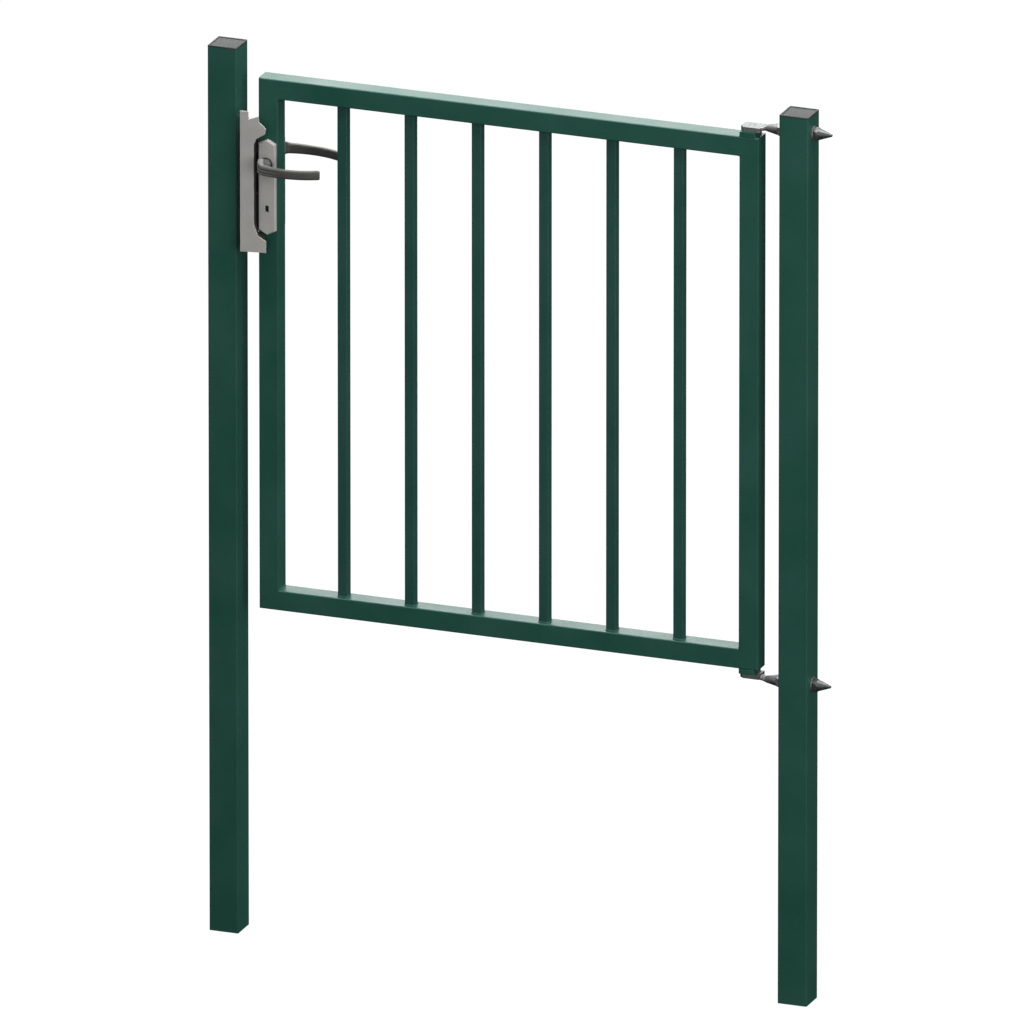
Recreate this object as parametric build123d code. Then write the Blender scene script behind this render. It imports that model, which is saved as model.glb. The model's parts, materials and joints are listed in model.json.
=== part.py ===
from build123d import *
from math import cos, radians, sin, sqrt
import os

# Garden swing gate between two square posts. Sizes are in millimetres.
# X runs from the latch post to the hinge post, Y runs from the street side inwards, Z is up.
# The origin is the centre of the hinge post's foot.

# Posts, from their buried foot to their cap
post_width = 60.0
post_wall = 2.0
post_corner = 3.0
post_buried = 600.0
post_over_leaf = 54.0
cap_plate = 3.0
cap_bevel = 1.8
cap_plug_depth = 14.0
cap_plug_clearance = 0.4

# Leaf frame and its infill bars
leaf_width = 1026.0
leaf_height = 1077.0
ground_gap = 67.0
hinge_gap = 45.0
latch_gap = 41.0
frame_tube = 40.0
frame_wall = 1.5
frame_corner = 2.5
bar_width = 20.0
bar_wall = 1.5
bar_corner = 2.0
bar_count = 6
least_corner = 0.2

# Hinges: a stud on the leaf turns in the eye of an adjustable threaded rod
pin_radius = 7.0
pin_clearance = 0.08
pin_end_chamfer = 0.8
hinge_block_inset = 8.0
hinge_block_height = 10.0
hinge_block_corner = 2.5
block_running_gap = 0.3
eye_width = 41.0
eye_depth = 32.0
eye_thickness = 9.0
eye_chamfer = 8.0
rod_radius = 6.0
rod_outer_reach = 20.0
rod_hole_clearance = 0.5
rod_steps = {"upper": 1.2, "lower": 4.7}
rod_end_chamfer = 1.0
neck_length = 17.0
neck_inset = 9.0
neck_side_inset = 1.0
neck_corner = 1.5
nut_across_flats = 24.0
nut_height = 9.0
cone_base_inset = 0.3
inner_nut_reach = 34.5
inner_nut_wall = 0.9
cap_nut_reach = 38.0
cap_tip_radius = 2.2
cap_tip_rounding_share = 0.8
cap_floor_clearance = 1.5
washer_radius = 15.0
washer_thickness = 2.5
thread_clearance = 0.05

# Lock in the latch stile
spindle_drop = 169.0
spindle_to_key = 92.0
case_past_spindle = 13.0
case_rise = 40.5
case_depth = 18.0
case_height = 178.0
case_wall = 1.5
case_slot_clearance = 0.5
faceplate_thickness = 2.5
faceplate_width = 24.0
faceplate_margin = 8.0
faceplate_corner = 2.5
follower_hole_radius = 9.0
wall_hole_radius = 10.0
bolt_height = 20.0
bolt_depth = 12.0
bolt_tail_gap = 1.5
bolt_stand = 1.0
bolt_clearance = 0.1
dead_bolt_drop = 52.0
dead_bolt_height = 34.0
keyhole_width = 8.6
keyhole_height = 13.6
keyhole_corner = 1.6

# Escutcheons on both faces of the latch stile
escutcheon_width = 35.0
escutcheon_rise = 48.0
escutcheon_height = 193.0
escutcheon_point = 9.0
escutcheon_thickness = 8.0
escutcheon_bevel = 2.0

# Lever handles
lever_seat = 4.0
lever_neck_radius = 10.0
lever_neck_clearance = 0.4
lever_neck_length = 14.0
lever_flare_length = 20.0
lever_bend_radius = 14.0
lever_bend_turn = 75.0
lever_arc_radius = 150.0
lever_arc_turn = 43.5
lever_foot_drop = 8.5
lever_root_height = 28.0
lever_root_thickness = 13.0
lever_height = 18.0
lever_thickness = 10.0
lever_edge_radius = 3.5
lever_taper_end = 1.35
lever_bend_sections = 6
lever_grip_sections = 8
spindle_side = 8.0
spindle_clearance = 0.05
spindle_inset = 6.0

# Keeper on the latch post
keeper_sheet = 3.0
keeper_foot_margin = 33.0
keeper_top_margin = 39.0
keeper_setoff = 13.0
keeper_plate_stand = 26.0
keeper_flange_front = 12.0
keeper_flange_margin = 2.0
keeper_flange_bevel = 8.0
keeper_flange_drop = 10.0
keeper_bend_radius = 3.0
keeper_clearance = 5.0
plate_overhang = 2.5
buffer_inset = 0.8
buffer_lining = 9.0
buffer_end_inset = 7.5
strike_gap = 6.5
strike_past_leaf = 2.0
strike_foot_margin = 6.0
strike_head_margin = 7.0
strike_corner = 2.5
strike_floor = 5.0
strike_pocket_clearance = 2.0
keeper_screw_radius = 4.0
keeper_screw_length = 12.0
keeper_screw_head = 13.0
keeper_screw_head_height = 5.3

# Keeper plate's free edge. The lower lobe ends under the escutcheon, a throat passes it,
# and a hooked lobe with a peak stands above it.
lobe_reach = 25.0
lower_lobe_lift = 3.0
lower_lobe_drop = 7.0
lower_flare_run = 8.5
lower_flare_rise = 2.0
lower_flare_radius = 5.0
throat_foot_rise = 24.0
throat_foot_radius = 14.0
throat_head_drop = 7.0
throat_head_radius = 10.0
hook_foot_run = 5.0
hook_foot_rise = 5.0
hook_foot_radius = 8.0
hook_front_inset = 1.5
hook_front_rise = 17.0
hook_nose_rise = 27.0
hook_nose_radius = 3.0
hook_top_inset = 4.0
hook_top_rise = 32.0
peak_foot_inset = 14.0
peak_foot_rise = 40.0
peak_inset = 15.0
peak_rise = 12.5
notch_rise = 4.0
tab_width = 17.0
tab_rise = 20.0

# Places that follow from the sizes above
post_half = post_width / 2
tube_half = frame_tube / 2
leaf_right = -(post_half + hinge_gap)
leaf_left = leaf_right - leaf_width
leaf_bottom = post_buried + ground_gap
leaf_top = leaf_bottom + leaf_height
post_length = leaf_top + post_over_leaf
latch_post_face = leaf_left - latch_gap
latch_post_x = latch_post_face - post_half
hinge_axis_x = leaf_right - tube_half
latch_stile_x = leaf_left + tube_half
lock_x = latch_stile_x
case_right = lock_x + case_past_spindle
spindle_height = leaf_top - spindle_drop
key_height = spindle_height - spindle_to_key
dead_bolt_z = spindle_height - dead_bolt_drop
escutcheon_face = tube_half + escutcheon_thickness
lever_neck_end = -(escutcheon_face - lever_seat) - lever_neck_length
lever_bend_start = lever_neck_end - lever_flare_length
escutcheon_top = spindle_height + escutcheon_rise
escutcheon_bottom = escutcheon_top - escutcheon_height
case_top = spindle_height + case_rise
case_bottom = case_top - case_height
bolt_tail_x = lock_x - follower_hole_radius - bolt_tail_gap
eye_offset = hinge_block_height + block_running_gap + eye_thickness / 2
rod_offsets = {which: eye_offset - eye_thickness / 2 + step + rod_radius for which, step in rod_steps.items()}
rod_heights = {"upper": leaf_top + rod_offsets["upper"], "lower": leaf_bottom - rod_offsets["lower"]}
keeper_left = latch_post_face + keeper_setoff
keeper_bottom = escutcheon_bottom - keeper_foot_margin
keeper_top = escutcheon_top + keeper_top_margin
keeper_front = tube_half + keeper_plate_stand
keeper_flange_back = post_half - keeper_flange_margin
keeper_screw_y = (keeper_flange_back - keeper_flange_front) / 2
buffer_front = keeper_front - keeper_sheet
buffer_back = tube_half + keeper_clearance
strike_front = keeper_flange_front
strike_back = tube_half + strike_past_leaf
strike_face = leaf_left - faceplate_thickness - strike_gap
strike_bottom = escutcheon_bottom - strike_foot_margin
strike_top = escutcheon_top - strike_head_margin

os.makedirs("parts", exist_ok=True)


def save(node, shape):
    shape.label = node
    export_step(shape, f"parts/{node}.step")


def tube_section(width, wall, corner):
    outer = RectangleRounded(width, width, corner)
    inner_width = width - 2 * wall
    inner = RectangleRounded(inner_width, inner_width, max(corner - wall, least_corner))
    return outer - inner


def upright_tube(x, bottom, length, width, wall, corner):
    return Pos(x, 0, bottom) * extrude(tube_section(width, wall, corner), length)


def level_tube(left, z, length, width, wall, corner):
    section = Plane.YZ * tube_section(width, wall, corner)
    return Pos(left, 0, z) * extrude(section, length)


def plate_xz(points, front, back):
    # A flat plate whose outline is given in X and Z, from y = front to y = back
    face = Plane.XZ * make_face(Polyline(*points, close=True))
    return Pos(0, back, 0) * extrude(face, back - front)


def rod_along_x(radius, start, end, y, z):
    middle = (start + end) / 2
    return Pos(middle, y, z) * Rot(0, 90, 0) * Cylinder(radius, end - start)


def rod_along_y(radius, start, end, x, z):
    middle = (start + end) / 2
    return Pos(x, middle, z) * Rot(90, 0, 0) * Cylinder(radius, end - start)


def block(x0, x1, y0, y1, z0, z1):
    centre = Pos((x0 + x1) / 2, (y0 + y1) / 2, (z0 + z1) / 2)
    return centre * Box(x1 - x0, y1 - y0, z1 - z0)


# Posts and caps

def hinge_post():
    post = upright_tube(0, 0, post_length, post_width, post_wall, post_corner)
    for z in rod_heights.values():
        post -= rod_along_x(rod_radius + rod_hole_clearance, -post_width, post_width, 0, z)
    return post


def screw_heights():
    upper = (strike_top + keeper_top - keeper_flange_drop) / 2
    lower = (keeper_bottom + strike_bottom) / 2
    return {"upper": upper, "lower": lower}


def latch_post():
    post = upright_tube(latch_post_x, 0, post_length, post_width, post_wall, post_corner)
    for z in screw_heights().values():
        radius = keeper_screw_radius + thread_clearance
        post -= rod_along_x(radius, latch_post_x, latch_post_face + 1, keeper_screw_y, z)
    return post


def post_cap(x):
    plate = Pos(x, 0, post_length) * extrude(RectangleRounded(post_width, post_width, post_corner), cap_plate)
    plate = chamfer(plate.faces().sort_by(Axis.Z)[-1].edges(), cap_bevel)
    plug_width = post_width - 2 * (post_wall + cap_plug_clearance)
    plug = block(x - plug_width / 2, x + plug_width / 2, -plug_width / 2, plug_width / 2,
                 post_length - cap_plug_depth, post_length)
    return plate + plug


# Leaf frame

def level_rail(outer_z, inner_z):
    middle = (outer_z + inner_z) / 2
    tube = level_tube(leaf_left, middle, leaf_width, frame_tube, frame_wall, frame_corner)
    ends = [(leaf_left, outer_z), (leaf_right, outer_z),
            (leaf_right - frame_tube, inner_z), (leaf_left + frame_tube, inner_z)]
    return tube & plate_xz(ends, -frame_tube, frame_tube)


def upright_stile(outer_x, inner_x):
    middle = (outer_x + inner_x) / 2
    tube = upright_tube(middle, leaf_bottom, leaf_height, frame_tube, frame_wall, frame_corner)
    ends = [(outer_x, leaf_bottom), (outer_x, leaf_top),
            (inner_x, leaf_top - frame_tube), (inner_x, leaf_bottom + frame_tube)]
    return tube & plate_xz(ends, -frame_tube, frame_tube)


def keyway(front, back):
    corner = min(keyhole_corner, keyhole_width / 2 - least_corner)
    outline = Plane.XZ * RectangleRounded(keyhole_width, keyhole_height, corner)
    return Pos(lock_x, back, key_height) * extrude(outline, back - front)


def latch_stile():
    stile = upright_stile(leaf_left, leaf_left + frame_tube)
    stile -= rod_along_y(wall_hole_radius, -frame_tube, frame_tube, lock_x, spindle_height)
    stile -= keyway(-frame_tube, frame_tube)
    half_depth = case_depth / 2 + case_slot_clearance
    slot_bottom = case_bottom - case_slot_clearance
    slot_top = case_top + case_slot_clearance
    stile -= block(leaf_left - 1, latch_stile_x, -half_depth, half_depth, slot_bottom, slot_top)
    return stile


def bar_positions():
    clear_width = leaf_width - 2 * frame_tube
    gap = (clear_width - bar_count * bar_width) / (bar_count + 1)
    first = leaf_left + frame_tube + gap + bar_width / 2
    return [first + i * (gap + bar_width) for i in range(bar_count)]


def infill_bar(x):
    bottom = leaf_bottom + frame_tube
    length = leaf_height - 2 * frame_tube
    return upright_tube(x, bottom, length, bar_width, bar_wall, bar_corner)


# Hinges, each made once for the upper place and turned over for the lower one

def place_at_end(shape, which):
    if which == "upper":
        return Pos(hinge_axis_x, 0, leaf_top) * shape
    return Pos(hinge_axis_x, 0, leaf_bottom) * Rot(180, 0, 0) * shape


def hinge_block():
    right = tube_half - hinge_block_inset
    body = block(-tube_half, right, -tube_half, tube_half, 0, hinge_block_height)
    body = fillet(body.edges().filter_by(Axis.Z), hinge_block_corner)
    return body - Cylinder(pin_radius, 4 * hinge_block_height)


def hinge_pin():
    length = eye_offset + eye_thickness / 2
    pin = Pos(0, 0, length / 2) * Cylinder(pin_radius, length)
    return chamfer(pin.faces().sort_by(Axis.Z)[-1].edges(), pin_end_chamfer)


def eye_bolt(rod_offset):
    plate = Pos(0, 0, eye_offset) * Box(eye_width, eye_depth, eye_thickness)
    left_edges = plate.edges().filter_by(Axis.Z).group_by(Axis.X)[0]
    plate = chamfer(left_edges, eye_chamfer)
    neck_start = eye_width / 2 - neck_inset
    neck_end = neck_start + neck_length
    neck_width = eye_depth - 2 * neck_side_inset
    wide = Plane.YZ * RectangleRounded(neck_width, eye_thickness, neck_corner)
    wide = Pos(neck_start, 0, eye_offset) * wide
    narrow = Pos(neck_end, 0, rod_offset) * (Plane.YZ * Circle(rod_radius))
    neck = loft([wide, narrow])
    rod_end = -hinge_axis_x + post_half + rod_outer_reach
    rod = rod_along_x(rod_radius, neck_end, rod_end, 0, rod_offset)
    rod = chamfer(rod.faces().sort_by(Axis.X)[-1].edges(), rod_end_chamfer)
    bore = Pos(0, 0, eye_offset) * Cylinder(pin_radius + pin_clearance, 4 * eye_thickness)
    return plate + neck + rod - bore


def hex_prism(across_flats, height):
    corner_radius = across_flats / sqrt(3)
    body = extrude(RegularPolygon(corner_radius, 6), height)
    rim = Pos(0, 0, height / 2) * Cylinder(corner_radius, height)
    rim = chamfer(rim.edges().filter_by(GeomType.CIRCLE), corner_radius - across_flats / 2)
    return body & rim


def washer(start, z):
    ring = rod_along_x(washer_radius, start, start + washer_thickness, 0, z)
    return ring - rod_along_x(rod_radius + rod_hole_clearance, start - 1, start + washer_thickness + 1, 0, z)


def cone_nut(reach, tip_radius):
    # A hexagon nut that tapers away from its washer, standing on the XY plane
    body = hex_prism(nut_across_flats, nut_height)
    cone_length = reach - washer_thickness - nut_height
    cone = Cone(nut_across_flats / 2 - cone_base_inset, tip_radius, cone_length)
    return body + Pos(0, 0, nut_height + cone_length / 2) * cone


def inner_nut(z):
    body = cone_nut(inner_nut_reach, rod_radius + thread_clearance + inner_nut_wall)
    body -= Cylinder(rod_radius + thread_clearance, 4 * inner_nut_reach)
    return Pos(-post_half - washer_thickness, 0, z) * Rot(0, -90, 0) * body


def cap_nut(z):
    # Closed, with a rounded tip over the end of the rod
    body = cone_nut(cap_nut_reach, cap_tip_radius)
    body = fillet(body.faces().sort_by(Axis.Z)[-1].edges(), cap_tip_radius * cap_tip_rounding_share)
    bore_depth = rod_outer_reach - washer_thickness + cap_floor_clearance
    body -= Pos(0, 0, bore_depth / 2) * Cylinder(rod_radius + thread_clearance, bore_depth)
    return Pos(post_half + washer_thickness, 0, z) * Rot(0, 90, 0) * body


# Lock

def lock_case():
    half = case_depth / 2
    body = block(leaf_left, case_right, -half, half, case_bottom, case_top)
    body -= block(leaf_left - 1, case_right - case_wall, case_wall - half, half - case_wall,
                  case_bottom + case_wall, case_top - case_wall)
    body -= rod_along_y(follower_hole_radius, -case_depth, case_depth, lock_x, spindle_height)
    return body - keyway(-case_depth, case_depth)


def bolt_opening(z, height):
    half = bolt_depth / 2 + bolt_clearance
    half_height = height / 2 + bolt_clearance
    front = leaf_left - 2 * faceplate_thickness
    return block(front, leaf_left + 1, -half, half, z - half_height, z + half_height)


def lock_faceplate():
    bottom = case_bottom - faceplate_margin
    top = case_top + faceplate_margin
    half = faceplate_width / 2
    plate = block(leaf_left - faceplate_thickness, leaf_left, -half, half, bottom, top)
    plate = fillet(plate.edges().filter_by(Axis.X), faceplate_corner)
    plate -= bolt_opening(spindle_height, bolt_height)
    return plate - bolt_opening(dead_bolt_z, dead_bolt_height)


def latch_bolt():
    nose = leaf_left - faceplate_thickness - bolt_stand
    half = bolt_depth / 2
    body = block(nose, bolt_tail_x, -half, half, spindle_height - bolt_height / 2,
                 spindle_height + bolt_height / 2)
    lead = body.edges().filter_by(Axis.Z).sort_by(Axis.X)[:2].sort_by(Axis.Y)[-1]
    return chamfer(lead, bolt_stand + faceplate_thickness)


def dead_bolt():
    nose = leaf_left - faceplate_thickness
    half = bolt_depth / 2
    return block(nose, bolt_tail_x, -half, half, dead_bolt_z - dead_bolt_height / 2,
                 dead_bolt_z + dead_bolt_height / 2)


def escutcheon_outline():
    left = lock_x - escutcheon_width / 2
    right = lock_x + escutcheon_width / 2
    return [(left, escutcheon_bottom + escutcheon_point), (lock_x, escutcheon_bottom),
            (right, escutcheon_bottom + escutcheon_point), (right, escutcheon_top - escutcheon_point),
            (lock_x, escutcheon_top), (left, escutcheon_top - escutcheon_point)]


def front_escutcheon():
    body = plate_xz(escutcheon_outline(), -escutcheon_face, -tube_half)
    body = chamfer(body.faces().sort_by(Axis.Y)[0].edges(), escutcheon_bevel)
    body -= rod_along_y(lever_neck_radius + lever_neck_clearance, -frame_tube, 0, lock_x, spindle_height)
    return body - keyway(-frame_tube, 0)


# Levers

def bend_end():
    turn = radians(lever_bend_turn)
    return lever_bend_radius * (1 - cos(turn)), lever_bend_start - lever_bend_radius * sin(turn)


def lever_point(share):
    # Place and heading on the lever's centre line, first round the bend and then along the grip.
    # The share runs from 0 to 1 on the bend and from 1 to 2 on the grip.
    if share <= 1:
        heading = radians(lever_bend_turn) * share
        x = lever_bend_radius * (1 - cos(heading))
        return x, lever_bend_start - lever_bend_radius * sin(heading), heading
    start = radians(lever_bend_turn)
    heading = start + radians(lever_arc_turn) * (share - 1)
    x, y = bend_end()
    x += lever_arc_radius * (cos(start) - cos(heading))
    return x, y - lever_arc_radius * (sin(heading) - sin(start)), heading


def lever_section(share):
    x, y, heading = lever_point(share)
    root = max(0.0, 1 - share / lever_taper_end)
    height = lever_height + (lever_root_height - lever_height) * root
    thickness = lever_thickness + (lever_root_thickness - lever_thickness) * root
    side = (cos(heading), sin(heading), 0)
    along = (sin(heading), -cos(heading), 0)
    section = Plane(origin=(x, y, height / 2 - lever_foot_drop), x_dir=side, z_dir=along)
    return section * RectangleRounded(thickness, height, lever_edge_radius)


def lever_blade():
    shares = [i / lever_bend_sections for i in range(lever_bend_sections)]
    shares += [1 + i / lever_grip_sections for i in range(lever_grip_sections + 1)]
    return loft([lever_section(share) for share in shares], ruled=True)


def front_lever():
    neck = rod_along_y(lever_neck_radius, lever_neck_end, -(escutcheon_face - lever_seat), 0, 0)
    neck_end = Plane(origin=(0, lever_neck_end, 0), x_dir=(1, 0, 0), z_dir=(0, -1, 0))
    flare = loft([neck_end * Circle(lever_neck_radius), lever_section(0)])
    socket_side = spindle_side + 2 * spindle_clearance
    socket = block(-socket_side / 2, socket_side / 2, lever_bend_start + spindle_inset - spindle_clearance, 0,
                   -socket_side / 2, socket_side / 2)
    return Pos(lock_x, 0, spindle_height) * (lever_blade() + flare + neck - socket)


def spindle():
    reach = -lever_bend_start - spindle_inset
    half = spindle_side / 2
    return block(lock_x - half, lock_x + half, -reach, reach, spindle_height - half, spindle_height + half)


# Keeper

def keeper_outline():
    # Every corner of the plate by name, in X and Z
    lobe = leaf_left + lobe_reach
    throat = lock_x - escutcheon_width / 2 - keeper_clearance + plate_overhang
    low = escutcheon_bottom
    high = escutcheon_top
    return {
        "foot": (keeper_left, keeper_bottom),
        "lower lobe foot": (lobe, keeper_bottom + lower_lobe_lift),
        "lower lobe top": (lobe, low - lower_lobe_drop),
        "lower flare": (throat + lower_flare_run, low + lower_flare_rise),
        "throat foot": (throat, low + throat_foot_rise),
        "throat head": (throat, high - throat_head_drop),
        "hook foot": (throat + hook_foot_run, high + hook_foot_rise),
        "hook front": (lobe - hook_front_inset, high + hook_front_rise),
        "hook nose": (lobe, high + hook_nose_rise),
        "hook top": (lobe - hook_top_inset, high + hook_top_rise),
        "peak foot": (lobe - peak_foot_inset, high + peak_foot_rise),
        "peak": (lobe - peak_inset, keeper_top + peak_rise),
        "notch": (keeper_left + tab_width, keeper_top + notch_rise),
        "tab": (keeper_left + tab_width, keeper_top + tab_rise),
        "tab corner": (keeper_left, keeper_top + tab_rise),
    }


def keeper_face(inset):
    corners = keeper_outline()
    face = make_face(Polyline(*corners.values(), close=True))
    rounded = {
        "throat foot": throat_foot_radius,
        "throat head": throat_head_radius,
        "hook foot": hook_foot_radius,
        "lower flare": lower_flare_radius,
        "hook nose": hook_nose_radius,
    }
    for name, radius in rounded.items():
        x, z = corners[name]
        corner = face.vertices().sort_by_distance((x, z, 0))[0]
        face = fillet(corner, radius)
    if inset:
        face = offset(face, -inset, kind=Kind.INTERSECTION)
    return Plane.XZ * face


def furniture_space():
    # Room for the front escutcheon, which reaches between the back parts of the two stop lobes
    outline = make_face(Polyline(*escutcheon_outline(), close=True))
    space = Plane.XZ * offset(outline, keeper_clearance, kind=Kind.INTERSECTION)
    return extrude(space, escutcheon_face + keeper_clearance)


def keeper_plate():
    return Pos(0, -buffer_front, 0) * extrude(keeper_face(0), keeper_sheet)


def throat_lining():
    # The band of the plate beside its throat, short of the two lobes' ends
    corners = keeper_outline()
    names = ["lower lobe top", "lower flare", "throat foot", "throat head", "hook foot", "hook front"]
    points = [corners[name] for name in names]
    beyond = leaf_left + lobe_reach + buffer_lining
    points = [(beyond, points[0][1])] + points + [(beyond, points[-1][1])]
    opening = make_face(Polyline(*points, close=True))
    band = Plane.XZ * offset(opening, buffer_lining + buffer_inset, kind=Kind.INTERSECTION)
    return extrude(band, keeper_front)


def keeper_buffer():
    body = Pos(0, -buffer_back, 0) * extrude(keeper_face(buffer_inset), buffer_front - buffer_back)
    web_face = keeper_left + keeper_sheet
    end = leaf_left + lobe_reach - buffer_end_inset
    reach = block(web_face, end, -keeper_front, 0, 0, post_length)
    return (body & reach & throat_lining()) - furniture_space()


def keeper_bracket():
    # A sheet bent from the post's face out to the back of the front plate
    back = keeper_flange_back
    bend = -keeper_flange_front
    web = keeper_left + keeper_sheet
    post = latch_post_face
    outline = [(post, back), (post, bend - keeper_sheet), (keeper_left, bend - keeper_sheet),
               (keeper_left, -buffer_front), (web, -buffer_front), (web, bend),
               (post + keeper_sheet, bend), (post + keeper_sheet, back)]
    face = make_face(Polyline(*outline, close=True))
    for corner in [(post, bend - keeper_sheet, 0), (web, bend, 0)]:
        face = fillet(face.vertices().sort_by_distance(corner)[0], keeper_bend_radius)
    body = Pos(0, 0, keeper_bottom) * extrude(face, keeper_top - keeper_bottom)
    flange_top = keeper_top - keeper_flange_drop
    body -= block(post - 1, post + 2 * keeper_sheet, bend, back + 1, flange_top, keeper_top + 1)
    corners = body.edges().filter_by(Axis.X).group_by(Axis.Y)[-1]
    body = chamfer(corners, keeper_flange_bevel)
    for z in screw_heights().values():
        radius = keeper_screw_radius + thread_clearance
        body -= rod_along_x(radius, post - 1, post + 2 * keeper_sheet, keeper_screw_y, z)
    return body


def strike_pocket(z, height):
    floor = latch_post_face + keeper_sheet + strike_floor
    half = bolt_depth / 2 + strike_pocket_clearance
    half_height = height / 2 + strike_pocket_clearance
    return block(floor, strike_face + 1, -half, half, z - half_height, z + half_height)


def strike_box():
    left = latch_post_face + keeper_sheet
    body = block(left, strike_face, -strike_front, strike_back, strike_bottom, strike_top)
    body = fillet(body.faces().sort_by(Axis.X)[-1].edges(), strike_corner)
    body -= strike_pocket(spindle_height, bolt_height)
    return body - strike_pocket(dead_bolt_z, dead_bolt_height)


def keeper_screw(z):
    head = hex_prism(keeper_screw_head, keeper_screw_head_height)
    shank = Pos(0, 0, -keeper_screw_length / 2) * Cylinder(keeper_screw_radius, keeper_screw_length)
    head_seat = latch_post_face + keeper_sheet
    return Pos(head_seat, keeper_screw_y, z) * Rot(0, 90, 0) * (head + shank)


def build_posts():
    save("hinge_post", hinge_post())
    save("latch_post", latch_post())
    save("hinge_post_cap", post_cap(0))
    save("latch_post_cap", post_cap(latch_post_x))


def build_hinges():
    for which, z in rod_heights.items():
        save(f"{which}_hinge_block", place_at_end(hinge_block(), which))
        save(f"{which}_hinge_pin", place_at_end(hinge_pin(), which))
        save(f"{which}_eye_bolt", place_at_end(eye_bolt(rod_offsets[which]), which))
        save(f"{which}_inner_washer", washer(-post_half - washer_thickness, z))
        save(f"{which}_outer_washer", washer(post_half, z))
        save(f"{which}_inner_nut", inner_nut(z))
        save(f"{which}_outer_nut", cap_nut(z))


def build_leaf():
    save("top_rail", level_rail(leaf_top, leaf_top - frame_tube))
    save("bottom_rail", level_rail(leaf_bottom, leaf_bottom + frame_tube))
    save("hinge_stile", upright_stile(leaf_right, leaf_right - frame_tube))
    save("latch_stile", latch_stile())
    for number, x in enumerate(bar_positions(), start=1):
        save(f"infill_bar_{number}", infill_bar(x))


def build_lock():
    save("lock_case", lock_case())
    save("lock_faceplate", lock_faceplate())
    save("latch_bolt", latch_bolt())
    save("dead_bolt", dead_bolt())
    save("front_escutcheon", front_escutcheon())
    save("back_escutcheon", mirror(front_escutcheon(), about=Plane.XZ))
    save("front_lever", front_lever())
    save("back_lever", mirror(front_lever(), about=Plane.XZ))
    save("spindle", spindle())


def build_keeper():
    save("keeper_bracket", keeper_bracket())
    save("keeper_plate", keeper_plate())
    save("keeper_buffer", keeper_buffer())
    save("strike_box", strike_box())
    for which, z in screw_heights().items():
        save(f"keeper_screw_{which}", keeper_screw(z))


build_posts()
build_hinges()
build_leaf()
build_lock()
build_keeper()
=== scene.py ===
import json
import math
import bmesh
import bpy
from mathutils import Matrix, Vector


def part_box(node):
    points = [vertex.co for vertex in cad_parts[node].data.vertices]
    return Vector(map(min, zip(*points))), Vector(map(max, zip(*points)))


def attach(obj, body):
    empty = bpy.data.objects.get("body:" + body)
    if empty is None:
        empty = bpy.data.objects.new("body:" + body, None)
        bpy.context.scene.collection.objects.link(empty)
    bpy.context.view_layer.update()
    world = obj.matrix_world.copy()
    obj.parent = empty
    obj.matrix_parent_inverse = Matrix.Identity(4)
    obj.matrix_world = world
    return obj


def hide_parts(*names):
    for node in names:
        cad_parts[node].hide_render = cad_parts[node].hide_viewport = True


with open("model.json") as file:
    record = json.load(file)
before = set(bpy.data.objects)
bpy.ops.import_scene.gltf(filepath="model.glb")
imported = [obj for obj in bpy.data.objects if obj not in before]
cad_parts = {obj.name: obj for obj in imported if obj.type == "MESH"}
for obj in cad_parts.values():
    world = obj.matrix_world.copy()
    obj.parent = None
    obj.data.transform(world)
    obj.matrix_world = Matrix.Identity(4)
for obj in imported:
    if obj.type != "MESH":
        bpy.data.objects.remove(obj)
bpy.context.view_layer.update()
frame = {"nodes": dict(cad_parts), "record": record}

nodes = frame["nodes"]
scene = bpy.context.scene
print("garden gate: frame loaded with", len(nodes), "nodes")


# Camera: a very long lens, because the photograph's upright and level edges all stay parallel
cameraSettings = {
    "aim": (-0.5875, 0.0, 0.920),
    "azimuth": 21.0,
    "elevation": 19.08,
    "distance": 92.0,
    "widthSeen": 1.966,
    "sensor": 36.0,
    "clipStart": 1.0,
    "clipEnd": 276.0,
}


def addCamera(settings):
    azimuth = math.radians(settings["azimuth"])
    elevation = math.radians(settings["elevation"])
    back = Vector((math.sin(azimuth) * math.cos(elevation),
                   -math.cos(azimuth) * math.cos(elevation),
                   math.sin(elevation)))
    data = bpy.data.cameras.new("gateCamera")
    data.sensor_width = settings["sensor"]
    data.lens = settings["sensor"] * settings["distance"] / settings["widthSeen"]
    data.clip_start = settings["clipStart"]
    data.clip_end = settings["clipEnd"]
    camera = bpy.data.objects.new("gateCamera", data)
    camera.location = Vector(settings["aim"]) + back * settings["distance"]
    camera.rotation_mode = "QUATERNION"
    camera.rotation_quaternion = (-back).to_track_quat("-Z", "Y")
    scene.collection.objects.link(camera)
    scene.camera = camera


addCamera(cameraSettings)


# Studio: a pale floor, a grey sky that is dark underfoot, and five soft panels
studioSettings = {
    "floorSize": 60.0,
    "floorGlow": 0.94,
    "floorColour": (0.05, 0.05, 0.05),
    "floorRoughness": 0.9,
    "skyBelow": (0.05, 0.055, 0.055),
    "skyHorizon": (0.38, 0.39, 0.40),
    "skyAbove": (0.55, 0.56, 0.58),
    "skyHeights": (0.45, 0.53, 0.80),  # where those three lie, from 0 underfoot to 1 overhead
    "backdrop": (1.0, 1.0, 1.0),       # what the camera sees behind the gate
}

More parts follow.
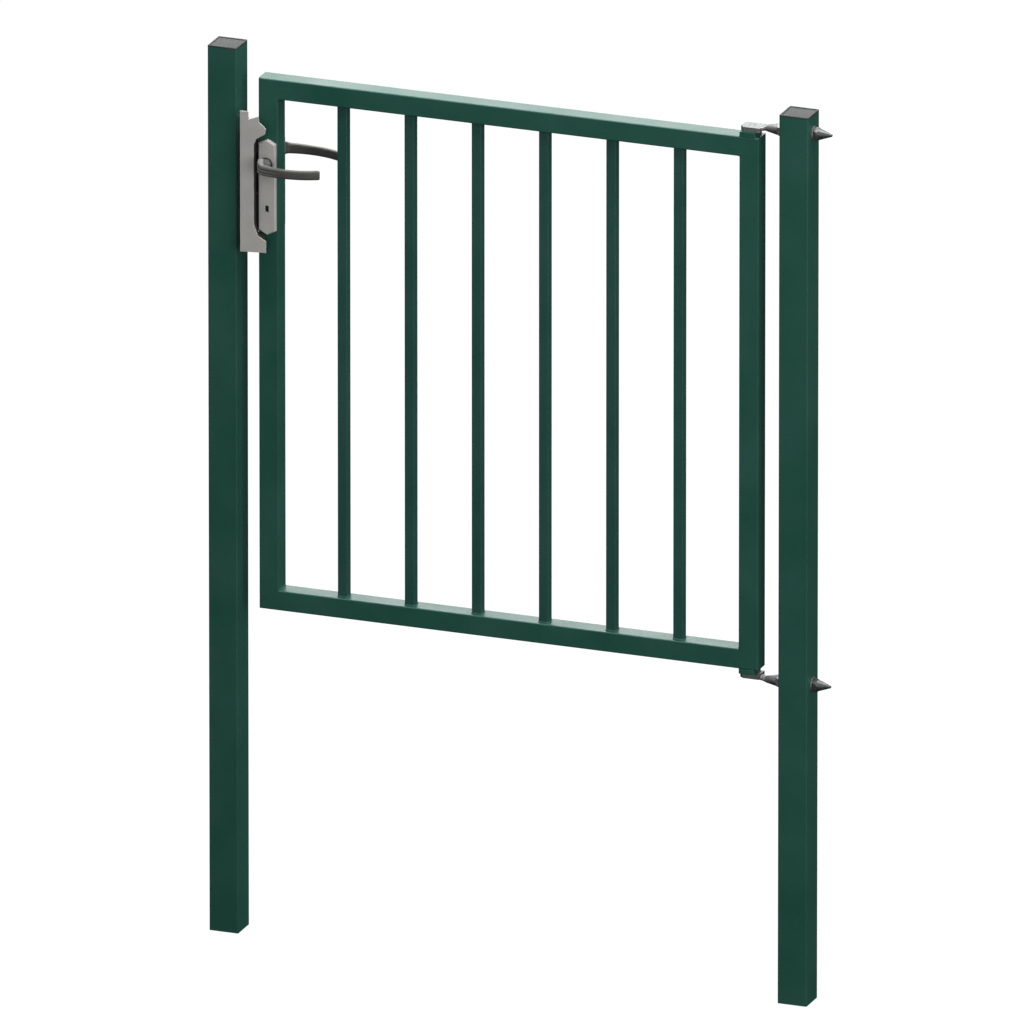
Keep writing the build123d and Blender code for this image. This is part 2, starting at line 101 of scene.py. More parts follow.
studioLights = [
    # name, place, aim, width, height, watts, lights matt surfaces, shows in gloss
    ("overheadPanel", (-0.6, 0.3, 6.5), (-0.6, 0.0, 1.0), 5.0, 5.0, 760.0, True, True),
    ("frontPanel", (0.2, -7.0, 2.6), (-0.6, 0.0, 1.0), 4.0, 4.0, 115.0, True, True),
    ("rightPanel", (6.2, -4.0, 2.8), (-0.6, 0.0, 1.0), 4.5, 4.5, 420.0, True, True),
    ("sheenPanel", (-4.4, 9.5, 4.6), (-0.6, 0.0, 1.2), 9.0, 4.0, 600.0, False, True),
    ("backPanel", (-0.6, 7.5, 2.2), (-0.6, 0.0, 1.0), 4.0, 4.0, 190.0, True, False),
]


def addFloor(settings):
    bm = bmesh.new()
    bmesh.ops.create_grid(bm, x_segments=2, y_segments=2, size=settings["floorSize"] / 2)
    mesh = bpy.data.meshes.new("studioFloor")
    bm.to_mesh(mesh)
    bm.free()
    floor = bpy.data.objects.new("studioFloor", mesh)
    scene.collection.objects.link(floor)
    material = bpy.data.materials.new("paleFloor")
    material.use_nodes = True
    shader = material.node_tree.nodes["Principled BSDF"]
    shader.inputs["Base Color"].default_value = (*settings["floorColour"], 1)
    shader.inputs["Roughness"].default_value = settings["floorRoughness"]
    shader.inputs["Specular IOR Level"].default_value = 0.0
    shader.inputs["Emission Color"].default_value = (1, 1, 1, 1)
    shader.inputs["Emission Strength"].default_value = settings["floorGlow"]
    mesh.materials.append(material)
    floor.visible_diffuse = False
    floor.visible_glossy = False


def addSky(settings):
    world = bpy.data.worlds.new("studioSky")
    scene.world = world
    world.use_nodes = True
    tree = world.node_tree
    place = tree.nodes.new("ShaderNodeTexCoord")
    split = tree.nodes.new("ShaderNodeSeparateXYZ")
    height = tree.nodes.new("ShaderNodeMapRange")
    ramp = tree.nodes.new("ShaderNodeValToRGB")
    rays = tree.nodes.new("ShaderNodeLightPath")
    seen = tree.nodes.new("ShaderNodeMix")
    background = tree.nodes["Background"]
    height.inputs["From Min"].default_value = -1.0
    height.inputs["From Max"].default_value = 1.0
    stops = ramp.color_ramp.elements
    below, horizon, above = settings["skyHeights"]
    stops[0].position = below
    stops[0].color = (*settings["skyBelow"], 1)
    stops[1].position = horizon
    stops[1].color = (*settings["skyHorizon"], 1)
    stops.new(above).color = (*settings["skyAbove"], 1)
    seen.data_type = "RGBA"
    seen.inputs["B"].default_value = (*settings["backdrop"], 1)
    tree.links.new(place.outputs["Generated"], split.inputs[0])
    tree.links.new(split.outputs["Z"], height.inputs["Value"])
    tree.links.new(height.outputs["Result"], ramp.inputs["Fac"])
    tree.links.new(ramp.outputs["Color"], seen.inputs["A"])
    tree.links.new(rays.outputs["Is Camera Ray"], seen.inputs["Factor"])
    tree.links.new(seen.outputs["Result"], background.inputs["Color"])


def addPanel(name, place, aim, width, height, watts, lightsMatt, showsInGloss):
    data = bpy.data.lights.new(name, "AREA")
    data.shape = "RECTANGLE"
    data.size = width
    data.size_y = height
    data.energy = watts
    panel = bpy.data.objects.new(name, data)
    panel.location = place
    panel.rotation_mode = "QUATERNION"
    panel.rotation_quaternion = (Vector(aim) - Vector(place)).to_track_quat("-Z", "Y")
    panel.visible_camera = False
    panel.visible_diffuse = lightsMatt
    panel.visible_glossy = showsInGloss
    scene.collection.objects.link(panel)


addFloor(studioSettings)
addSky(studioSettings)
for light in studioLights:
    addPanel(*light)
scene.view_settings.view_transform = "Standard"
print("garden gate: studio ready")


# Finishes: two colours in soft patches, a roughness that varies with them, and a fine grain as bump
finishes = {
    "green_coat": {
        "colour": (0.0085, 0.053, 0.0365), "patch": (0.0125, 0.061, 0.0445),
        "roughness": 0.42, "roughSpread": 0.10, "metallic": 0.0, "specular": 0.25,
        "patchScale": 7.0, "grain": 900.0, "bump": 0.00004,
    },
    "cap_plastic": {
        "colour": (0.012, 0.013, 0.013), "patch": (0.018, 0.019, 0.018),
        "roughness": 0.60, "roughSpread": 0.10, "metallic": 0.0, "specular": 0.26,
        "patchScale": 30.0, "grain": 1400.0, "bump": 0.00005,
    },
    "keeper_metal": {
        "colour": (0.285, 0.275, 0.26), "patch": (0.315, 0.305, 0.285),
        "roughness": 0.5, "roughSpread": 0.08, "metallic": 0.0, "specular": 0.4,
        "patchScale": 18.0, "grain": 1100.0, "bump": 0.00003,
    },
    "escutcheon_metal": {
        "colour": (0.295, 0.29, 0.275), "patch": (0.33, 0.32, 0.305),
        "roughness": 0.45, "roughSpread": 0.08, "metallic": 0.0, "specular": 0.4,
        "patchScale": 25.0, "grain": 1300.0, "bump": 0.00003,
    },
    "buffer_rubber": {
        "colour": (0.008, 0.008, 0.008), "patch": (0.014, 0.014, 0.013),
        "roughness": 0.75, "roughSpread": 0.12, "metallic": 0.0, "specular": 0.3,
        "patchScale": 30.0, "grain": 800.0, "bump": 0.00006,
    },
    "strike_plastic": {
        "colour": (0.009, 0.009, 0.009), "patch": (0.014, 0.014, 0.014),
        "roughness": 0.5, "roughSpread": 0.10, "metallic": 0.0, "specular": 0.4,
        "patchScale": 30.0, "grain": 1500.0, "bump": 0.00004,
    },
    "lever_coat": {
        "colour": (0.035, 0.036, 0.034), "patch": (0.045, 0.045, 0.042),
        # the lighter colour of the lever's ridges is a painted highlight, not bare metal
        "ridgeHighlightColour": (0.125, 0.123, 0.118),
        "roughness": 0.45, "roughSpread": 0.10, "metallic": 0.0, "specular": 0.4,
        "patchScale": 40.0, "grain": 1300.0, "bump": 0.00003,
    },
    "nut_coat": {
        "colour": (0.010, 0.015, 0.013), "patch": (0.018, 0.023, 0.021),
        "roughness": 0.38, "roughSpread": 0.12, "metallic": 0.0, "specular": 0.8,
        "patchScale": 70.0, "grain": 1000.0, "bump": 0.00004,
    },
    "lock_steel": {
        "colour": (0.42, 0.42, 0.41), "patch": (0.5, 0.5, 0.49),
        "roughness": 0.35, "roughSpread": 0.12, "metallic": 1.0, "specular": 0.5,
        "patchScale": 60.0, "grain": 1600.0, "bump": 0.00002,
    },
    "zinc_steel": {
        "colour": (0.13, 0.135, 0.13), "patch": (0.21, 0.215, 0.21),
        "roughness": 0.52, "roughSpread": 0.16, "metallic": 0.85, "specular": 0.5,
        "patchScale": 90.0, "grain": 900.0, "bump": 0.00004,
    },
}


# The thin bars look a little greyer and darker than the frame
barShade = {"colour": (0.0100, 0.047, 0.037), "patch": (0.0135, 0.053, 0.043)}

# Noise detail, and the stretch of the noise that the colours and the roughness are spread over
noiseSettings = {"patchDetail": 4.0, "grainDetail": 2.0, "colourSpread": (0.35, 0.65),
                 "roughnessSpread": (0.3, 0.7)}


def spreadNoise(tree, noise, limits):
    spread = tree.nodes.new("ShaderNodeMapRange")
    spread.inputs["From Min"].default_value = limits[0]
    spread.inputs["From Max"].default_value = limits[1]
    tree.links.new(noise.outputs["Fac"], spread.inputs["Value"])
    return spread


def finishMaterial(name, look, noise):
    material = bpy.data.materials.new(name)
    material.use_nodes = True
    tree = material.node_tree
    make = tree.nodes.new
    link = tree.links.new
    shader = tree.nodes["Principled BSDF"]
    shader.inputs["Metallic"].default_value = look["metallic"]
    shader.inputs["Specular IOR Level"].default_value = look["specular"]
    place = make("ShaderNodeTexCoord").outputs["Object"]
    patches = make("ShaderNodeTexNoise")
    patches.inputs["Scale"].default_value = look["patchScale"]
    patches.inputs["Detail"].default_value = noise["patchDetail"]
    link(place, patches.inputs["Vector"])
    colours = make("ShaderNodeMix")
    colours.data_type = "RGBA"
    colours.inputs["A"].default_value = (*look["colour"], 1)
    colours.inputs["B"].default_value = (*look["patch"], 1)
    blend = spreadNoise(tree, patches, noise["colourSpread"])
    link(blend.outputs["Result"], colours.inputs["Factor"])
    link(colours.outputs["Result"], shader.inputs["Base Color"])
    if "ridgeHighlightColour" in look:                     # painted highlight: a lighter colour where the mesh's own ridge highlight attribute says so, standing in for the highlights on the lever's ridges
        highlightStrength = make("ShaderNodeAttribute")
        highlightStrength.attribute_name = "ridgeHighlight"
        bright = make("ShaderNodeMix")
        bright.data_type = "RGBA"
        bright.inputs["B"].default_value = (*look["ridgeHighlightColour"], 1)
        link(highlightStrength.outputs["Fac"], bright.inputs["Factor"])
        link(colours.outputs["Result"], bright.inputs["A"])
        link(bright.outputs["Result"], shader.inputs["Base Color"])
    dull = spreadNoise(tree, patches, noise["roughnessSpread"])
    dull.inputs["To Min"].default_value = look["roughness"] - look["roughSpread"] / 2
    dull.inputs["To Max"].default_value = look["roughness"] + look["roughSpread"] / 2
    link(dull.outputs["Result"], shader.inputs["Roughness"])
    grain = make("ShaderNodeTexNoise")
    grain.inputs["Scale"].default_value = look["grain"]
    grain.inputs["Detail"].default_value = noise["grainDetail"]
    link(place, grain.inputs["Vector"])
    bump = make("ShaderNodeBump")
    bump.inputs["Strength"].default_value = 1.0
    bump.inputs["Distance"].default_value = look["bump"]
    link(grain.outputs["Fac"], bump.inputs["Height"])
    link(bump.outputs["Normal"], shader.inputs["Normal"])
    return material


materials = {name: finishMaterial(name, look, noiseSettings) for name, look in finishes.items()}
materials["barCoat"] = finishMaterial("barCoat", {**finishes["green_coat"], **barShade}, noiseSettings)
bars = sorted(name for name in nodes if name.startswith("infill_bar"))
slotOf = {part["node"]: part["material_slot"] for part in frame["record"]["subparts"]}
bodyOf = {part: body for body, parts in frame["record"]["behaviour"]["bodies"].items() for part in parts}
for name, node in nodes.items():
    finish = "barCoat" if name in bars else slotOf[name]
    for index in range(len(node.material_slots)):
        node.material_slots[index].material = materials[finish]
print("garden gate: finishes on", len(nodes), "nodes")


# Every new piece ends here: outward faces, soft shading, a finish and a body to ride on
def addPiece(name, bm, body, finish, sharpAngle=35.0, recalculate=True):
    if recalculate:
        bmesh.ops.recalc_face_normals(bm, faces=bm.faces)
    mesh = bpy.data.meshes.new(name)
    bm.to_mesh(mesh)
    bm.free()
    mesh.shade_smooth()
    mesh.set_sharp_from_angle(angle=math.radians(sharpAngle))
    mesh.materials.append(materials[finish])
    piece = bpy.data.objects.new(name, mesh)
    scene.collection.objects.link(piece)
    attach(piece, body)
    return piece


def carryRing(bm, edges, step):
    # extrudes an open ring of edges and carries the new ring on by a matrix
    grown = bmesh.ops.extrude_edge_only(bm, edges=edges)["geom"]
    ring = [item for item in grown if isinstance(item, bmesh.types.BMVert)]
    bmesh.ops.transform(bm, matrix=step, verts=ring)
    return ring, [item for item in grown if isinstance(item, bmesh.types.BMEdge)]


def closeRing(bm, edges):
    bmesh.ops.contextual_create(bm, geom=edges)


def drawProfile(bm, start, moves):
    # a line of edges from a start point, one edge for each move; gives its two ends
    first = tip = bmesh.ops.create_vert(bm, co=start)["vert"][0]
    for move in moves:
        tip = bmesh.ops.extrude_vert_indiv(bm, verts=[tip])["verts"][0]
        tip.co = tip.co + move
    return first, tip


# Softened hardware: the CAD shape with its sharp edges broken, as pressed and plated parts have them
softenSettings = {"merge": 0.00001, "flatAngle": 0.5, "sharpAngle": 40.0, "segments": 2}

softenedEdges = {
    # group: (edge width in metres, the nodes that get it)
    "keeper": (0.0005, ("keeper_plate", "keeper_bracket", "keeper_buffer", "strike_box")),
    "lock": (0.0004, ("lock_faceplate", "latch_bolt", "dead_bolt", "front_escutcheon",
                      "back_escutcheon")),
    "hinges": (0.0006, ("upper_hinge_block", "lower_hinge_block")),
    "fasteners": (0.0004, ("upper_inner_nut", "upper_outer_nut", "lower_inner_nut", "lower_outer_nut",
                           "upper_inner_washer", "upper_outer_washer", "lower_inner_washer",
                           "lower_outer_washer", "keeper_screw_upper", "keeper_screw_lower")),
}


def softenNode(nodeName, width, look):
    bm = bmesh.new()
    bm.from_mesh(nodes[nodeName].data)
    bmesh.ops.remove_doubles(bm, verts=bm.verts, dist=look["merge"])
    bmesh.ops.dissolve_limit(bm, angle_limit=math.radians(look["flatAngle"]), verts=bm.verts,
                             edges=bm.edges)
    words = nodeName.split("_")
    name = words[0] + "".join(word.capitalize() for word in words[1:])
    piece = addPiece(name, bm, bodyOf[nodeName], slotOf[nodeName], recalculate=False)
    bevel = piece.modifiers.new("brokenEdges", "BEVEL")
    bevel.width = width
    bevel.segments = look["segments"]
    bevel.limit_method = "ANGLE"
    bevel.angle_limit = math.radians(look["sharpAngle"])
    bevel.harden_normals = True
    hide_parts(nodeName)


for width, group in softenedEdges.values():
    for nodeName in group:
        softenNode(nodeName, width, softenSettings)
print("garden gate: edges of the hardware broken")


# Levers: a round neck that flares into a tall root with two grooves and tapers to the grip
leverSettings = {
    "lock": (-1.0810, 1.575),         # x and z of the spindle
    "neckRadius": 0.010,
    "neckStart": -0.024,              # the front lever's y, from the escutcheon outwards
    "neckEnd": -0.038,
    "bendStart": -0.058,
    "bendRadius": 0.014,
    "bendTurn": 75.0,
    "gripRadius": 0.150,
    "gripTurn": 43.5,
    "footDrop": 0.0085,               # how far the section reaches below the spindle
    "rootHeight": 0.028,
    "rootThickness": 0.013,
    "gripHeight": 0.018,
    "gripThickness": 0.0098,
    "taperEnd": 1.35,                 # where along the lever the tall root has thinned to the grip
    "corners": 4.6,                   # how square the section is
    "grooves": (0.30, 0.60),          # heights of the grooves as shares of the section
    "grooveDepth": 0.0030,
    "grooveShade": 1.7,               # how far a groove's dark coat spreads up its sides
    # how far up a groove's sides the painted highlight is left off, so the groove shows as a line of
    # painted shade
    "grooveWidth": 0.075,
    "grooveFade": 2.4,                # how late the grooves fade out towards the grip
    "ridgeHighlightEnd": 1.32,                # where the painted highlight on the ridges' tops ends along the grip
    "ridgeHighlightFade": 0.50,
    "frontWear": 1.0,                 # how strong the painted highlight on the ridges is on each lever, stronger on the front lever
    "backWear": 0.2,
    "ringPoints": 128,
    "neckSteps": 8,
    "bendSteps": 10,
    "gripSteps": 24,
    "tip": ((1.975, 0.985), (1.988, 0.93), (1.996, 0.82), (2.0, 0.66)),    # the last rings' place, size
    "tipHeightLoss": 0.55,            # how much of that shrinking the height takes
    "sharpAngle": 50.0,
}


def leverPlace(share, look):
    # centre and heading of the lever's line at a share of it:
    # below 0 on the neck, from 0 to 1 round the bend, from 1 to 2 along the grip
    if share <= 0:
        return 0.0, look["bendStart"] * (1 + share) - look["neckEnd"] * share, 0.0
    turn = math.radians(look["bendTurn"])
    heading = turn * min(share, 1.0)
    x = look["bendRadius"] * (1 - math.cos(heading))
    y = look["bendStart"] - look["bendRadius"] * math.sin(heading)
    if share > 1:
        bent = heading
        heading = bent + math.radians(look["gripTurn"]) * (share - 1)
        x += look["gripRadius"] * (math.cos(bent) - math.cos(heading))
        y -= look["gripRadius"] * (math.sin(heading) - math.sin(bent))
    return x, y, heading


def leverOutline(angle, share, look):
    # sideways and upward place of one point of the section, and how deep it lies in a groove (0 to 1)
    root = max(0.0, 1 - max(share, 0.0) / look["taperEnd"])
    tall = look["gripHeight"] + (look["rootHeight"] - look["gripHeight"]) * root
    thick = look["gripThickness"] + (look["rootThickness"] - look["gripThickness"]) * root
    across, rise = thick * math.cos(angle), tall * math.sin(angle)
    cosine, sine = across / math.hypot(across, rise), rise / math.hypot(across, rise)
    power = look["corners"]
    reach = (abs(cosine / (thick / 2)) ** power + abs(sine / (tall / 2)) ** power) ** (-1 / power)
    side, up = reach * cosine, reach * sine
    cut = 0.0
    if side < 0:
        level = up / tall + 0.5
        cut = max(max(0.0, 1 - abs(level - middle) / look["grooveWidth"]) for middle in look["grooves"])
        fade = min(1.0, max(0.0, root * look["grooveFade"])) * min(1.0, max(0.0, 1 + share))
        side += cut * look["grooveDepth"] * fade
    up += tall / 2 - look["footDrop"]
    if share < 0:
        blend = 1 + share
        blend = blend * blend * (3 - 2 * blend)
        side = side * blend + look["neckRadius"] * math.cos(angle) * (1 - blend)
        up = up * blend + look["neckRadius"] * math.sin(angle) * (1 - blend)
    return side, up, cut


def placeLeverRing(ring, share, shrink, ridgeHighlight, highlightStrength, look):
    x, y, heading = leverPlace(share, look)
    # painted highlight on the ridges: strongest at the root, fading along the grip, and left off the
    # grooves so that they show as dark lines of painted shade
    highlightAlong = min(1.0, max(0.0, (look["ridgeHighlightEnd"] - share) / look["ridgeHighlightFade"]))
    middle = look["gripHeight"] / 2 - look["footDrop"]
    for index, vert in enumerate(ring):
        angle = 2 * math.pi * index / len(ring)
        side, up, cut = leverOutline(angle, share, look)
        vert[ridgeHighlight] = highlightStrength * highlightAlong * max(0.0, 1 - look["grooveShade"] * cut)
        side *= shrink
        up = middle + (up - middle) * (1 - (1 - shrink) * look["tipHeightLoss"])
        vert.co = Vector((look["lock"][0] + x + math.cos(heading) * side,
                          y + math.sin(heading) * side,
                          look["lock"][1] + up))


def addLever(name, nodeName, mirrored, highlightStrength, look):
    bm = bmesh.new()
    ridgeHighlight = bm.verts.layers.float.new("ridgeHighlight")
    ring = bmesh.ops.create_circle(bm, segments=look["ringPoints"], radius=look["neckRadius"])["verts"]
    edges = list(bm.edges)
    for index, vert in enumerate(ring):
        angle = 2 * math.pi * index / len(ring)
        vert.co = Vector((look["lock"][0] + look["neckRadius"] * math.cos(angle),
                          look["neckStart"],
                          look["lock"][1] + look["neckRadius"] * math.sin(angle)))
    closeRing(bm, edges)
    stations = []
    for start, steps in ((-1, look["neckSteps"]), (0, look["bendSteps"]), (1, look["gripSteps"])):
        stations += [(start + step / steps, 1.0) for step in range(steps)]
    stations += look["tip"]
    for share, shrink in stations:
        ring, edges = carryRing(bm, edges, Matrix.Identity(4))
        placeLeverRing(ring, share, shrink, ridgeHighlight, highlightStrength, look)
    closeRing(bm, edges)
    if mirrored:
        bmesh.ops.scale(bm, vec=(1, -1, 1), verts=bm.verts)
    lever = addPiece(name, bm, "handle", "lever_coat", sharpAngle=look["sharpAngle"])
    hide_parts(nodeName)


addLever("frontLever", "front_lever", False, leverSettings["frontWear"], leverSettings)
addLever("backLever", "back_lever", True, leverSettings["backWear"], leverSettings)
print("garden gate: levers with grooved roots")


# Collars that the levers' necks turn in
collarSettings = {"inner": 0.0104, "outer": 0.0122, "height": 0.0012, "edge": 0.0004, "steps": 64,
                  "merge": 0.00001}


def addCollar(name, face, outward, look):
    bm = bmesh.new()
    x, z = leverSettings["lock"]
    moves = (
        Vector((0, outward * look["height"], 0)),
        Vector((look["outer"] - look["inner"] - look["edge"], 0, 0)),
        Vector((look["edge"], -outward * look["edge"], 0)),
        Vector((0, -outward * (look["height"] - look["edge"]), 0)),
        Vector((look["inner"] - look["outer"], 0, 0)),
    )
    drawProfile(bm, Vector((x + look["inner"], face, z)), moves)
    bmesh.ops.spin(bm, geom=list(bm.verts) + list(bm.edges), cent=(x, 0, z), axis=(0, 1, 0),
                   dvec=(0, 0, 0), angle=2 * math.pi, steps=look["steps"], use_merge=True,
                   use_duplicate=False)
    bmesh.ops.remove_doubles(bm, verts=bm.verts, dist=look["merge"])
    addPiece(name, bm, "leaf", "lever_coat")


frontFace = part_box("front_escutcheon")[0].y
addCollar("frontCollar", frontFace, -1, collarSettings)
addCollar("backCollar", -frontFace, 1, collarSettings)
print("garden gate: lever collars")


# Post caps: a low moulded lid with a raised rim round a slightly sunken field
capSettings = {"plate": 0.003, "corner": 0.003, "cornerSegments": 5, "edge": 0.0009, "edgeSegments": 3,
               "rim": 0.0030, "sink": 0.0009, "sinkSlope": 0.00045, "plug": 0.014, "plugInset": 0.0024,
               "sharpAngle": 30.0}


def heightAndArea(face):
    return round(face.calc_center_median().z, 6), face.calc_area()


def addCap(name, nodeName, look):
    low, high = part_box(nodeName)
    bm = bmesh.new()
    bmesh.ops.create_cube(bm, size=1.0)
    middle = (low + high) / 2
    size = Vector((high.x - low.x, high.y - low.y, look["plate"]))
    bmesh.ops.scale(bm, vec=size, verts=bm.verts)
    bmesh.ops.translate(bm, vec=(middle.x, middle.y, high.z - look["plate"] / 2), verts=bm.verts)
    upright = [edge for edge in bm.edges
               if abs(edge.verts[0].co.z - edge.verts[1].co.z) > look["plate"] / 2]
    bmesh.ops.bevel(bm, geom=upright, offset=look["corner"], segments=look["cornerSegments"],
                    profile=0.5, affect="EDGES", material=-1)
    top = max(bm.faces, key=heightAndArea)
    bmesh.ops.bevel(bm, geom=list(top.edges), offset=look["edge"], segments=look["edgeSegments"],
                    profile=0.5, affect="EDGES", material=-1)
    top = max(bm.faces, key=heightAndArea)
    bmesh.ops.inset_region(bm, faces=[top], thickness=look["rim"])
    bmesh.ops.remove_doubles(bm, verts=list(top.verts), dist=look["corner"])    # square inner corners
    top = max(bm.faces, key=heightAndArea)
    bmesh.ops.inset_region(bm, faces=[top], thickness=look["sinkSlope"], depth=-look["sink"])
    bottom = min(bm.faces, key=heightAndArea)
    bmesh.ops.inset_region(bm, faces=[bottom], thickness=look["plugInset"])
    plug = bmesh.ops.extrude_face_region(bm, geom=[bottom])["geom"]
    plugVerts = [item for item in plug if isinstance(item, bmesh.types.BMVert)]
    bmesh.ops.translate(bm, vec=(0, 0, -look["plug"]), verts=plugVerts)
    bmesh.ops.delete(bm, geom=[bottom], context="FACES_ONLY")
    cap = addPiece(name, bm, "posts", "cap_plastic", sharpAngle=look["sharpAngle"])
    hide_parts(nodeName)


addCap("hingePostLid", "hinge_post_cap", capSettings)
addCap("latchPostLid", "latch_post_cap", capSettings)
print("garden gate: post caps")


# Weld beads where the bars and the hinge blocks meet the frame, and in the frame's mitres
weldSettings = {
    "bead": 0.0019,
    "ripple": 0.14,                   # swell and thinning from step to step, as a share of the bead
    "pitch": 0.0016,
    "ringPoints": 8,
    "endSize": 0.35,
    "merge": 0.00002,
    "unevenness": 0.05,
    "slowWave": 2.3,
    "quickWave": 5.1,
    "waveStart": 7,
    "waveSteps": 61,
    "barInset": 0.0006,
    "blockInset": 0.0045,
    "mitreInset": 0.002,
    "sharpAngle": 80.0,
}


def beadAlong(bm, points, closed, look, chance):
    # one bead: a small ring carried along the points, swelling and thinning as a hand-laid weld does
    count = len(points)
    ring = bmesh.ops.create_circle(bm, segments=look["ringPoints"], radius=1.0)["verts"]
    made = list(ring)
    edges = list({edge for vert in ring for edge in vert.link_edges})
    shape = [vert.co.copy() for vert in ring]
    startEdges = edges
    stations = list(range(count)) + ([0] if closed else [])
    for order, index in enumerate(stations):
        if order:
            ring, edges = carryRing(bm, edges, Matrix.Identity(4))
            made += ring
        ahead = points[(index + 1) % count] if closed or index < count - 1 else points[index]
        behind = points[index - 1] if closed or index > 0 else points[index]
        turn = (ahead - behind).to_track_quat("Z", "Y").to_matrix()
        ripple = look["ripple"] * (1 if index % 2 else -1)
        swell = look["bead"] * (1 + ripple + chance[index % len(chance)])
        if not closed and index in (0, count - 1):
            swell *= look["endSize"]
        for vert, flat in zip(ring, shape):
            vert.co = points[index] + turn @ (flat * swell)
    if closed:
        bmesh.ops.remove_doubles(bm, verts=made, dist=look["merge"])
    else:
        closeRing(bm, startEdges)
        closeRing(bm, edges)


def linePoints(start, end, pitch):
    count = max(3, int((end - start).length / pitch))
    return [start.lerp(end, step / count) for step in range(count + 1)]


def loopPoints(low, high, insetX, insetY, z, pitch):
    # round a level rectangle that lies inside a box by an inset
    left, right = low.x + insetX, high.x - insetX
    front, back = low.y + insetY, high.y - insetY
    corners = [Vector((left, front, z)), Vector((right, front, z)),
               Vector((right, back, z)), Vector((left, back, z))]
    points = []
    for index, corner in enumerate(corners):
        points += linePoints(corner, corners[(index + 1) % 4], pitch)[:-1]
    return points


def addWelds(look):
    chance = [look["unevenness"] * math.sin(look["slowWave"] * step + look["waveStart"])
              + look["unevenness"] * math.sin(look["quickWave"] * step)
              for step in range(look["waveSteps"])]
    leafLow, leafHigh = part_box("latch_stile")[0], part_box("hinge_stile")[1]
    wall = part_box("bottom_rail")[1].z - leafLow.z    # the width of the frame's tubes
    bm = bmesh.new()
    for bar in bars:
        low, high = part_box(bar)
        for z in (leafLow.z + wall, leafHigh.z - wall):
            loop = loopPoints(low, high, look["barInset"], look["barInset"], z, look["pitch"])
            beadAlong(bm, loop, True, look, chance)
    addPiece("barWelds", bm, "leaf", "green_coat", sharpAngle=look["sharpAngle"])
    bm = bmesh.new()
    for which in ("upper", "lower"):
        low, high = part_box(which + "_hinge_block")
        z = low.z if which == "upper" else high.z
        beadAlong(bm, loopPoints(low, high, 0, look["blockInset"], z, look["pitch"]), True, look, chance)
    addPiece("hingeBlockWelds", bm, "leaf", "green_coat", sharpAngle=look["sharpAngle"])
    bm = bmesh.new()
    for x, z, inwardX, inwardZ in ((leafLow.x, leafHigh.z, 1, -1), (leafHigh.x, leafHigh.z, -1, -1),
                                   (leafLow.x, leafLow.z, 1, 1), (leafHigh.x, leafLow.z, -1, 1)):
        inner = Vector((x + inwardX * wall, 0, z + inwardZ * wall))
        front = inner + Vector((0, leafLow.y + look["mitreInset"], 0))
        back = inner + Vector((0, leafHigh.y - look["mitreInset"], 0))
        beadAlong(bm, linePoints(front, back, look["pitch"]), False, look, chance)
    addPiece("mitreWelds", bm, "leaf", "green_coat", sharpAngle=look["sharpAngle"])


addWelds(weldSettings)
print("garden gate: weld beads")


# Countersunk screws with a hexagon socket: two in the lock's faceplate and two in the strike box
screwSettings = {
    "head": 0.0040,
    "stand": 0.0005,
    "edge": 0.0006,
    "socket": 0.0019,
    "socketRoom": 1.15,               # the round field that the hexagon is cut from, as a share of it
    "socketDepth": 0.00045,
    "sunk": 0.0018,
    "sunkTaper": 0.7,
    "points": 36,
    "faceplateMargin": 0.0048,
    "strikeMargin": 0.009,
    "sharpAngle": 30.0,
}


def hexReach(angle, flat):
    # distance from the middle of a hexagon to its side, at an angle
    spread = math.radians(60)
    return flat / math.cos((angle + spread / 2) % spread - spread / 2)


def addScrew(bm, point, facing, look):
    earlier = set(bm.verts)
    disc = bmesh.ops.create_circle(bm, segments=look["points"], radius=look["head"], cap_ends=True)
    face = disc["verts"][0].link_faces[0]
    field = look["head"] - look["edge"] - look["socket"] * look["socketRoom"]
    for across, rise in ((look["edge"], look["stand"]), (field, 0.0)):
        bmesh.ops.inset_region(bm, faces=[face], thickness=across, depth=rise, use_boundary=True)
    for vert in face.verts:
        angle = math.atan2(vert.co.y, vert.co.x)
        reach = hexReach(angle, look["socket"])
        vert.co.x, vert.co.y = reach * math.cos(angle), reach * math.sin(angle)
    floor = bmesh.ops.extrude_face_region(bm, geom=[face])["geom"]
    floorVerts = [item for item in floor if isinstance(item, bmesh.types.BMVert)]
    bmesh.ops.translate(bm, vec=(0, 0, -look["socketDepth"]), verts=floorVerts)
    bmesh.ops.delete(bm, geom=[face], context="FACES_ONLY")
    rim = [edge for edge in bm.edges if edge.is_boundary]
    taper = Matrix.Diagonal((look["sunkTaper"], look["sunkTaper"], 1, 1))
    cone = Matrix.Translation((0, 0, -look["sunk"])) @ taper
    closeRing(bm, carryRing(bm, rim, cone)[1])
    turn = Vector((0, 0, 1)).rotation_difference(Vector((facing, 0, 0))).to_matrix().to_4x4()
    bmesh.ops.transform(bm, matrix=Matrix.Translation(point) @ turn,
                        verts=[vert for vert in bm.verts if vert not in earlier])


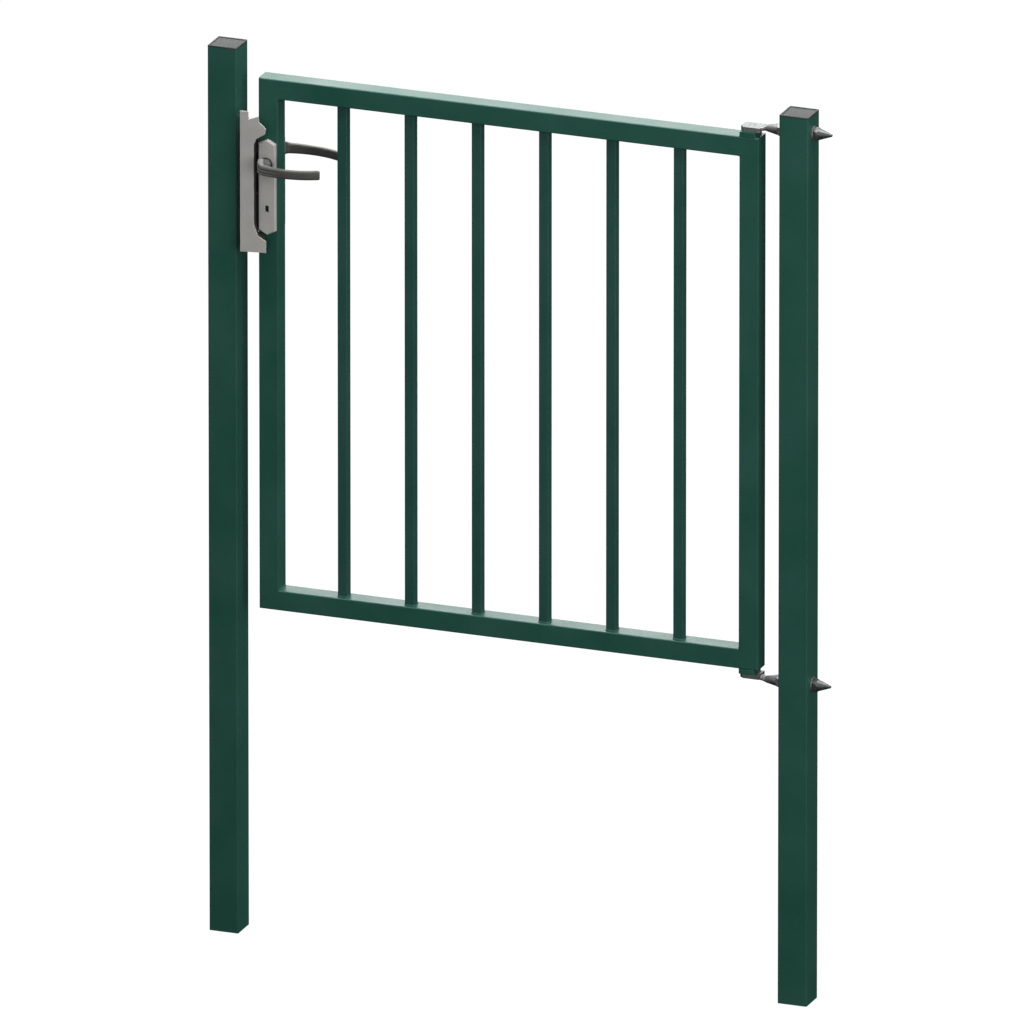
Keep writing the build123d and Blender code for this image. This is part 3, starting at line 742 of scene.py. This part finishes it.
def addScrewPair(name, nodeName, body, facing, margin, look):
    low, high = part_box(nodeName)
    bm = bmesh.new()
    x = high.x if facing > 0 else low.x
    for z in (low.z + look[margin], high.z - look[margin]):
        addScrew(bm, Vector((x, (low.y + high.y) / 2, z)), facing, look)
    addPiece(name, bm, body, "zinc_steel", sharpAngle=look["sharpAngle"])


addScrewPair("faceplateScrews", "lock_faceplate", "leaf", -1, "faceplateMargin", screwSettings)
addScrewPair("strikeScrews", "strike_box", "posts", 1, "strikeMargin", screwSettings)
print("garden gate: socket screws")


# Thread on the short stretch of each hinge rod that shows between the eye's neck and its nut
threadSettings = {
    "rod": 0.0060,
    "pitch": 0.00175,
    "rise": 0.00045,
    "sunk": 0.0002,
    "flank": 0.4,                     # the ridge's sloping and flat parts, as shares of the pitch
    "crest": 0.1,
    "steps": 32,
    "start": -0.0675,
    "intoNut": 0.0015,
    "sharpAngle": 60.0,
}


def addThread(name, start, end, z, look):
    bm = bmesh.new()
    flank, crest = look["pitch"] * look["flank"], look["pitch"] * look["crest"]
    moves = (
        Vector((flank, 0, look["rise"] + look["sunk"])),
        Vector((crest, 0, 0)),
        Vector((flank, 0, -look["rise"] - look["sunk"])),
    )
    ends = drawProfile(bm, Vector((start, 0, z + look["rod"] - look["sunk"])), moves)
    bmesh.ops.contextual_create(bm, geom=list(ends))
    turns = max(1, int((end - start) / look["pitch"]) - 1)
    bmesh.ops.spin(bm, geom=list(bm.verts) + list(bm.edges), cent=(start, 0, z), axis=(1, 0, 0),
                   dvec=(look["pitch"] / look["steps"], 0, 0), angle=2 * math.pi * turns,
                   steps=look["steps"] * turns, use_merge=False, use_duplicate=False)
    bmesh.ops.holes_fill(bm, edges=bm.edges, sides=4)
    addPiece(name, bm, "posts", "zinc_steel", sharpAngle=look["sharpAngle"])


for which in ("upper", "lower"):
    nutLow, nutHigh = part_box(which + "_inner_nut")
    addThread(which + "RodThread", threadSettings["start"], nutLow.x + threadSettings["intoNut"],
              (nutLow.z + nutHigh.z) / 2, threadSettings)
print("garden gate: rod threads")
